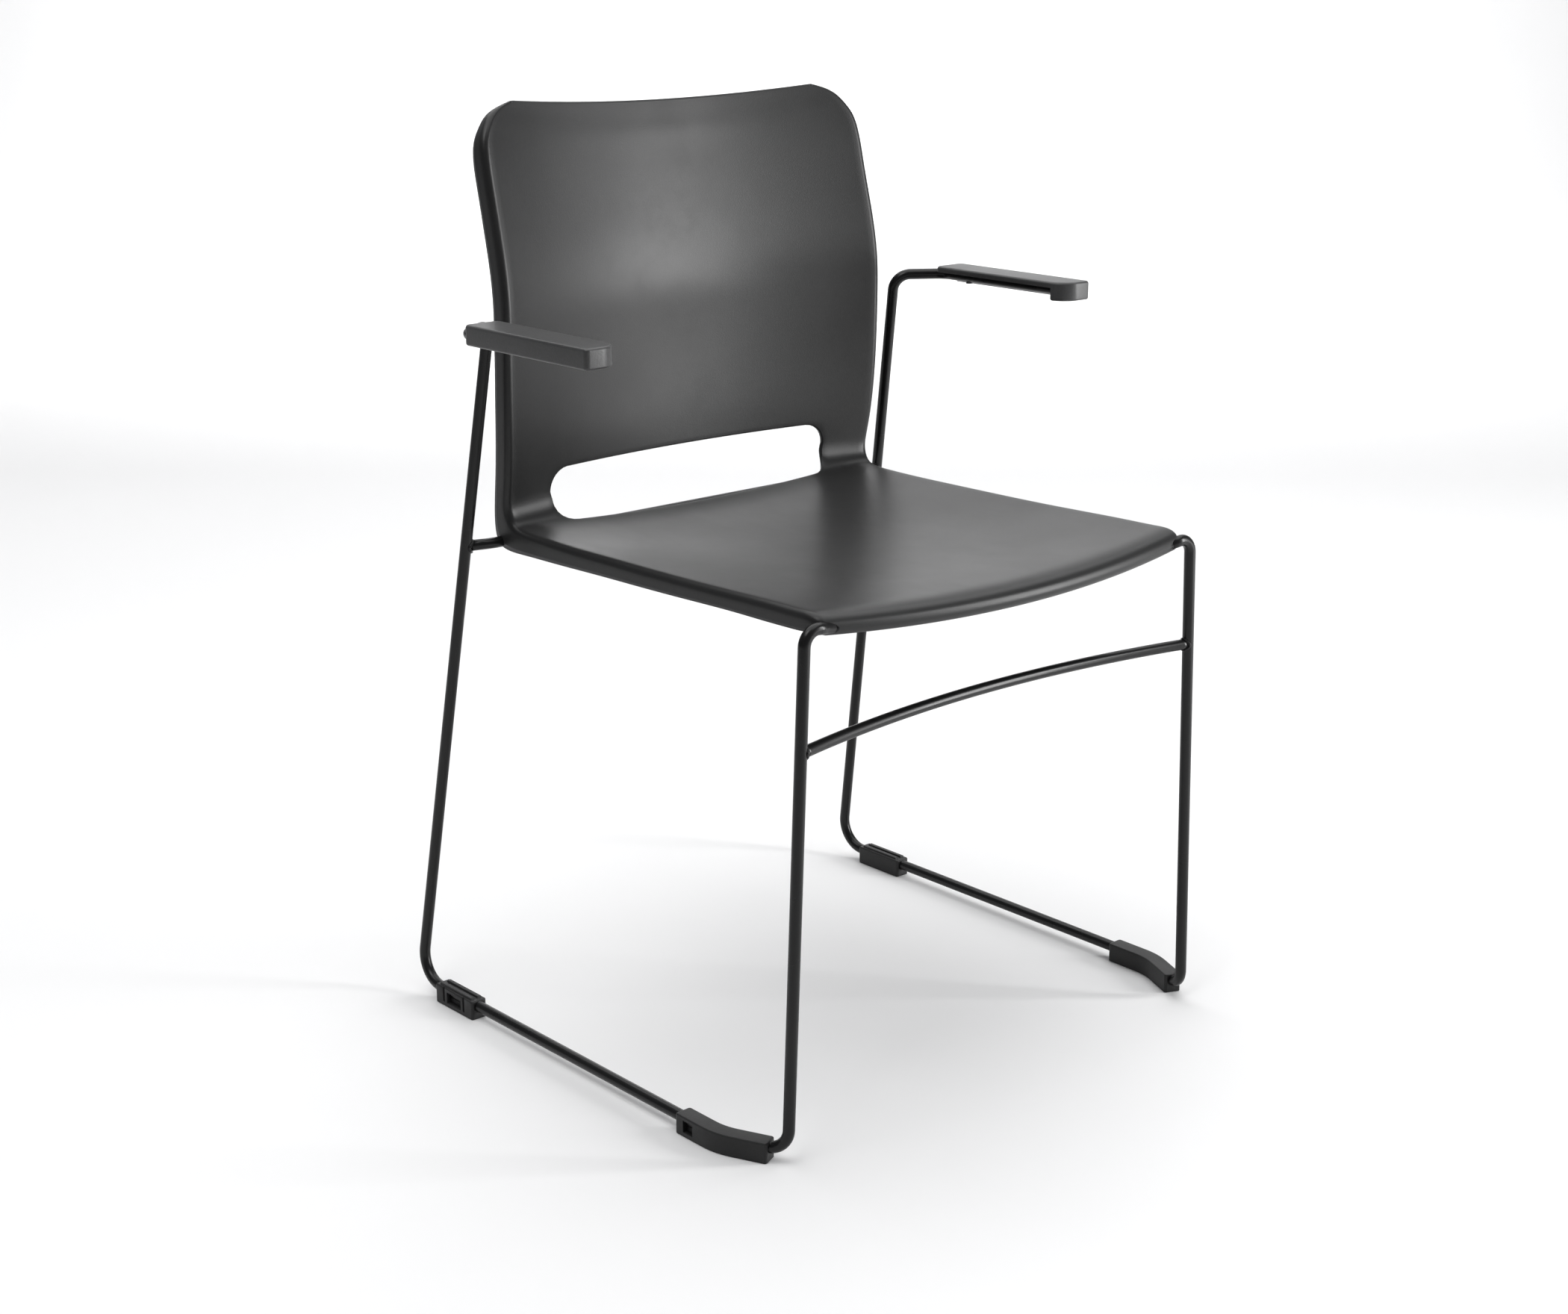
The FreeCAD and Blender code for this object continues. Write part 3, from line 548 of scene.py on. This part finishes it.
outer_loop = [(0, j) for j in range(NC)] + [(i, NC - 1) for i in range(1, NR)] + \
             [(NR - 1, j) for j in range(NC - 2, -1, -1)] + [(i, 0) for i in range(NR - 2, 0, -1)]
hole_loop = [(i_a, j) for j in range(j_a, j_b + 1)] + [(i, j_b) for i in range(i_a + 1, i_b + 1)] + \
            [(i_b, j) for j in range(j_b - 1, j_a - 1, -1)] + [(i, j_a) for i in range(i_b - 1, i_a, -1)]


def outward_sign(loop, ref):
    i, j = loop[len(loop) // 7]
    k = loop.index((i, j))
    t = P[loop[k + 1]] - P[loop[k - 1]]
    b = np.cross(t, Nrm[i, j])
    return 1.0 if b @ (P[i, j] - ref) > 0 else -1.0


rim(outer_loop, outward_sign(outer_loop, P[NR // 8, jc]))
hc = (P[i_a, jc] + P[i_b, jc]) / 2
rim(hole_loop, -outward_sign(hole_loop, hc))
shell_verts = [v3(*p) for p in verts]
shell = add_obj("shell_skin", shell_verts, faces, M_SHELL, "shell")
bm = bmesh.new()
bm.from_mesh(shell.data)
bmesh.ops.recalc_face_normals(bm, faces=bm.faces)
bm.to_mesh(shell.data)
bm.free()
shell.data.polygons.foreach_set("use_smooth", [True] * len(shell.data.polygons))


# ===================================================================== rods
def fillet_path(points, radii, step=5.0):
    """centre-line samples of straight runs joined by tangent bends"""
    pts = [np.array(p, float) for p in points]
    out = [pts[0]]
    for i in range(1, len(pts) - 1):
        a = pts[i] - pts[i - 1]
        b = pts[i + 1] - pts[i]
        a /= np.linalg.norm(a)
        b /= np.linalg.norm(b)
        turn = math.acos(max(-1, min(1, float(a @ b))))
        rad = radii[i - 1]
        t = rad * math.tan(turn / 2)
        p1 = pts[i] - a * t
        ax = np.cross(a, b)
        ax /= np.linalg.norm(ax)
        inw = np.cross(ax, a)
        c = p1 + inw * rad
        n = max(3, int(math.degrees(turn) / step) + 1)
        for q in range(n + 1):
            an = turn * q / n
            out.append(c - inw * rad * math.cos(an) + a * rad * math.sin(an))
    out.append(pts[-1])
    return np.array(out)


def arc_path(p, m, q, n=48):
    p, m, q = [np.array(v, float) for v in (p, m, q)]
    h = (q - p) / 2
    mid = (p + q) / 2
    sag = m - mid
    sg = np.linalg.norm(sag)
    hw = np.linalg.norm(h)
    R_ = (hw * hw + sg * sg) / (2 * sg)
    u = h / hw
    w = sag / sg
    c = m - w * R_
    a0 = math.asin(hw / R_)
    return np.array([c + R_ * (u * math.sin(a) + w * math.cos(a)) for a in np.linspace(-a0, a0, n)])


def sweep(path, r, sides=32, cap=(True, True), dome=0.8):
    """tube mesh along a path with parallel-transported rings and chamfered ends"""
    path = np.asarray(path, float)
    # split long straight runs so that shading detail stays even
    dense = [path[0]]
    for a, b in zip(path[:-1], path[1:]):
        L = np.linalg.norm(b - a)
        k = max(1, int(L / 18.0))
        for q in range(1, k + 1):
            dense.append(a + (b - a) * q / k)
    path = np.array(dense)
    tang = np.gradient(path, axis=0)
    tang /= np.linalg.norm(tang, axis=1, keepdims=True)
    u = np.cross(tang[0], [0.0, 0.0, 1.0])
    if np.linalg.norm(u) < 0.1:
        u = np.cross(tang[0], [1.0, 0.0, 0.0])
    u /= np.linalg.norm(u)
    rings = []
    radii = [r] * len(path)
    cs = list(path)
    ts = list(tang)
    if cap[0]:
        cs = [path[0], path[0] + tang[0] * dome] + cs[1:]
        ts = [tang[0], tang[0]] + ts[1:]
        radii = [r - dome, r] + radii[1:]
    if cap[1]:
        cs = cs[:-1] + [path[-1] - tang[-1] * dome, path[-1]]
        ts = ts[:-1] + [tang[-1], tang[-1]]
        radii = radii[:-1] + [r, r - dome]
    verts, faces = [], []
    for c, t, rr in zip(cs, ts, radii):
        u = u - t * (u @ t)
        u /= np.linalg.norm(u)
        w = np.cross(t, u)
        ring = []
        for k in range(sides):
            a = 2 * math.pi * k / sides
            ring.append(len(verts))
            verts.append(c + rr * (u * math.cos(a) + w * math.sin(a)))
        rings.append(ring)
    for a, b in zip(rings[:-1], rings[1:]):
        for k in range(sides):
            faces.append((a[k], a[(k + 1) % sides], b[(k + 1) % sides], b[k]))
    for ring, c, first in ((rings[0], cs[0], True), (rings[-1], cs[-1], False)):
        q = len(verts)
        verts.append(c)
        for k in range(sides):
            f = (ring[k], ring[(k + 1) % sides], q)
            faces.append(f[::-1] if first else f)
    return verts, faces


LEG_X0, LEG_K, LEG_Y = 240.2, 0.038, -240.0
REAR_Y, REAR_KX, REAR_KY = 241.5, 0.0483, 0.1613
RAIL_Z, RAIL_END_Z, RAIL_SAG = 438.0, 435.4, 9.0
ARM_Z, ARM_X, ARM_BACK_Y, ARM_END_Y = 624.2, 276.0, 116.0, -50.0
CB_Z, CB_BOW = 341.4, 26.0


def leg_x(z):
    return LEG_X0 - LEG_K * (z - 12.0)


def rear_x(z):
    return 265.0 - REAR_KX * (z - 12.0)


def rear_y(z):
    return REAR_Y - REAR_KY * (z - 12.0)


SIDE = [(196.0, LEG_Y, RAIL_END_Z), (leg_x(RAIL_Z), LEG_Y, RAIL_Z), (LEG_X0, LEG_Y, 12.0), (265.0, -185.0, 12.0),
        (265.0, REAR_Y, 12.0), (rear_x(ARM_Z), rear_y(ARM_Z), ARM_Z), (ARM_X, ARM_BACK_Y, ARM_Z), (ARM_X, ARM_END_Y, ARM_Z)]
SIDE_R = [13.0, 18.0, 62.0, 26.0, 16.0, 17.0]
side_path = fillet_path(SIDE, SIDE_R, 4.0)
vs, fs = sweep(side_path, 5.0, 36, cap=(False, True))
add_pair("side_frame", [v3(*p) for p in vs], fs, M_ROD, "side_frame")

vs, fs = sweep(arc_path((-196.0, LEG_Y, RAIL_END_Z), (0, LEG_Y, RAIL_END_Z - RAIL_SAG), (196.0, LEG_Y, RAIL_END_Z)), 5.0, 36, cap=(False, False))
add_obj("front_seat_rail_skin", [v3(*p) for p in vs], fs, M_ROD, "front_seat_rail")

cbx = leg_x(CB_Z) - 1.0
vs, fs = sweep(arc_path((-cbx, LEG_Y, CB_Z), (0, LEG_Y + CB_BOW, CB_Z), (cbx, LEG_Y, CB_Z), 72), 4.75, 36, cap=(False, False))
add_obj("front_crossbar_skin", [v3(*p) for p in vs], fs, M_ROD, "front_crossbar")

rbx, rby = rear_x(430.0) - 1.0, rear_y(430.0)
vs, fs = sweep(fillet_path([(-rbx, rby, 430.0), (-222.0, 168.0, 430.0), (222.0, 168.0, 430.0), (rbx, rby, 430.0)],
                           [40.0, 40.0], 3.0), 4.75, 36, cap=(False, False))
add_obj("rear_crossbar_skin", [v3(*p) for p in vs], fs, M_ROD, "rear_crossbar")

vs, fs = sweep(fillet_path([(150.0, LEG_Y + 2.0, 429.9), (150.0, -60.0, 424.8), (150.0, 167.0, 427.0)], [1000.0], 0.4), 4.75, 36, cap=(False, False))
add_pair("seat_rail", [v3(*p) for p in vs], fs, M_ROD, "seat_rail")

vs, fs = sweep(fillet_path([(184.0, 168.5, 431.0), (184.0, 171.5, 466.0), (184.0, 160.5, 600.0)], [30.0], 2.0), 4.75, 36, cap=(False, True))
add_pair("back_support", [v3(*p) for p in vs], fs, M_ROD, "back_support")


# ===================================================================== weld beads
def weld(name, axis_pt, axis_dir, R_, bar_dir, rb, off=0.0, mirror=True, bead=1.25):
    """fillet bead where a bar meets the side of a rod; off is the bar's offset from the rod axis"""
    e = np.array(axis_dir, float); e /= np.linalg.norm(e)
    d = np.array(bar_dir, float); d -= e * (d @ e); d /= np.linalg.norm(d)
    h = np.cross(e, d)
    n = 64
    ring_pts = []
    for k in range(n):
        a = 2 * math.pi * k / n
        hh = off + rb * math.cos(a)
        ll = math.sqrt(max(R_ * R_ - hh * hh, 0.0))
        p = np.array(axis_pt, float) + h * hh + e * (rb * math.sin(a)) + d * (ll + 0.25)
        out = h * math.cos(a) + e * math.sin(a)
        ring_pts.append((p + out * 0.25, out))
    verts, faces = [], []
    m = 10
    for k in range(n):
        p, out = ring_pts[k]
        tan = ring_pts[(k + 1) % n][0] - ring_pts[(k - 1) % n][0]
        tan /= np.linalg.norm(tan)
        u = out - tan * (out @ tan); u /= np.linalg.norm(u)
        w = np.cross(tan, u)
        rr = bead * (1.0 + 0.10 * math.sin(k * 2 * math.pi * 9 / n) + 0.05 * math.sin(k * 2 * math.pi * 4 / n + 1.3))
        for q in range(m):
            b = 2 * math.pi * q / m
            verts.append(p + rr * (u * math.cos(b) + w * math.sin(b)))
    for k in range(n):
        for q in range(m):
            faces.append((k * m + q, k * m + (q + 1) % m, ((k + 1) % n) * m + (q + 1) % m, ((k + 1) % n) * m + q))
    vs = [v3(*p) for p in verts]
    if mirror:
        add_pair(name, vs, faces, M_ROD, None)
    else:
        add_obj(name, vs, faces, M_ROD, None)


leg_dir = (leg_x(400) - leg_x(0), 0, 400.0)
weld("weld_crossbar", (leg_x(CB_Z), LEG_Y, CB_Z), leg_dir, 5.0, (-1.0, 0.22, 0), 4.75)
rear_dir = (rear_x(500) - rear_x(0), rear_y(500) - rear_y(0), 500.0)
weld("weld_rearbar", (rear_x(430.0), rear_y(430.0), 430.0), rear_dir, 5.0, (-1.0, -0.33, 0), 4.75)
weld("weld_back_support", (184.0, 168.0, 430.0), (1, 0, 0), 4.75, (0, 0.15, 1.0), 4.6)


# ===================================================================== CAD nodes kept as they are
def dress(node, mat, width=0.0004, seg=2, angle=35):
    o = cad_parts[node]
    o.data.materials.clear()
    o.data.materials.append(mat)
    o.data.polygons.foreach_set("use_smooth", [True] * len(o.data.polygons))
    if width:
        w = o.modifiers.new("weld", "WELD")
        w.merge_threshold = 0.00002
        b = o.modifiers.new("edge", "BEVEL")
        b.width = width
        b.segments = seg
        b.limit_method = "ANGLE"
        b.angle_limit = math.radians(angle)
        b.harden_normals = False
    return o


for n in sorted(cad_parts):
    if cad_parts[n].hide_render:
        continue
    if n.startswith("arm_pad"):
        dress(n, M_PAD, 0.0006, 3)
    elif "screw" in n:
        dress(n, M_SCREW, 0.0)
    elif "glide" in n:
        dress(n, M_GLIDE, 0.0004, 2)
    elif "tab" in n:
        dress(n, M_ROD, 0.0003, 2)


# ===================================================================== studio
def stage_mat(name, col, rough):
    m, nt, b, co = new_mat(name)
    n = noise(nt, co, 1.2, 3.0)
    nt.links.new(ramp(nt, n, [(0.3, (col * 0.985, col * 0.985, col * 0.985, 1)), (0.7, (col, col, col, 1))]), b.inputs["Base Color"])
    nt.links.new(maprange(nt, n, 0.3, 0.7, rough - 0.03, rough + 0.03), b.inputs["Roughness"])
    b.inputs["Specular IOR Level"].default_value = 0.2
    return m


M_FLOOR = stage_mat("studio_floor", 0.86, 0.7)
fv, ff = [], []
# floor that sweeps up into a backdrop far behind
prof = [(-9.0, 0.0)] + [(x, 0.0) for x in (-4, -2, -1, 0, 1, 2, 3, 4, 5.0)]
for k in range(1, 13):
    a = math.pi / 2 * k / 12
    prof.append((5.0 + 2.5 * math.sin(a), 2.5 - 2.5 * math.cos(a)))
prof.append((7.5, 9.0))
vd = np.array([0.6635, 0.7482])            # horizontal look direction
sd = np.array([vd[1], -vd[0]])
for (d, h) in prof:
    for s in (-11.0, -5.0, -2.0, 0.0, 2.0, 5.0, 11.0):
        p = vd * d + sd * s
        fv.append((p[0], p[1], h))
for i in range(len(prof) - 1):
    for j in range(6):
        ff.append((i * 7 + j, i * 7 + j + 1, (i + 1) * 7 + j + 1, (i + 1) * 7 + j))
me = bpy.data.meshes.new("studio_floor")
me.from_pydata(fv, [], ff)
me.update()
me.polygons.foreach_set("use_smooth", [True] * len(me.polygons))
floor = bpy.data.objects.new("studio_floor", me)
scene.collection.objects.link(floor)
floor.data.materials.append(M_FLOOR)

world = bpy.data.worlds.new("studio_world")
scene.world = world
world.use_nodes = True
bg = world.node_tree.nodes["Background"]
bg.inputs["Color"].default_value = (0.95, 0.96, 1.0, 1)
bg.inputs["Strength"].default_value = 0.20


def area(name, loc, target, sx, sy, power, col=(1, 1, 1)):
    l = bpy.data.lights.new(name, "AREA")
    l.shape = "RECTANGLE"
    l.size, l.size_y = sx, sy
    l.energy = power
    l.color = col
    o = bpy.data.objects.new(name, l)
    scene.collection.objects.link(o)
    o.location = loc
    o.rotation_euler = (Vector(target) - Vector(loc)).to_track_quat("-Z", "Y").to_euler()
    return o


area("top_soft", (0.6, 0.9, 3.6), (0.5, 0.8, 0.0), 5.0, 5.0, 165.0)
area("strip_front_right", (2.0, -2.15, 0.95), (0.0, 0.15, 0.62), 0.5, 1.9, 76.0)
area("soft_left_top", (-1.5, -0.4, 3.0), (0.0, 0.0, 0.5), 1.1, 1.1, 18.0)
area("backdrop_far", (2.6, 3.0, 3.2), (4.6, 5.2, 1.6), 4.0, 3.0, 190.0)

# ===================================================================== camera
cam_d = bpy.data.cameras.new("camera")
cam = bpy.data.objects.new("camera", cam_d)
scene.collection.objects.link(cam)
scene.camera = cam
cam_d.sensor_width = 36.0
cam_d.lens = 57.46
cam_d.clip_start, cam_d.clip_end = 0.05, 60.0
AZ, EL, DIST = math.radians(-41.558), math.radians(16.4055), 2.20154
tgt = Vector((-0.03195, YS * MM, 0.3269))
back = Vector((math.sin(AZ) * math.cos(EL), -math.cos(AZ) * math.cos(EL), math.sin(EL)))
cam.location = tgt + back * DIST
cam.rotation_mode = "QUATERNION"
cam.rotation_quaternion = (-back).to_track_quat("-Z", "Y")

scene.view_settings.view_transform = "Standard"
scene.view_settings.look = "None"
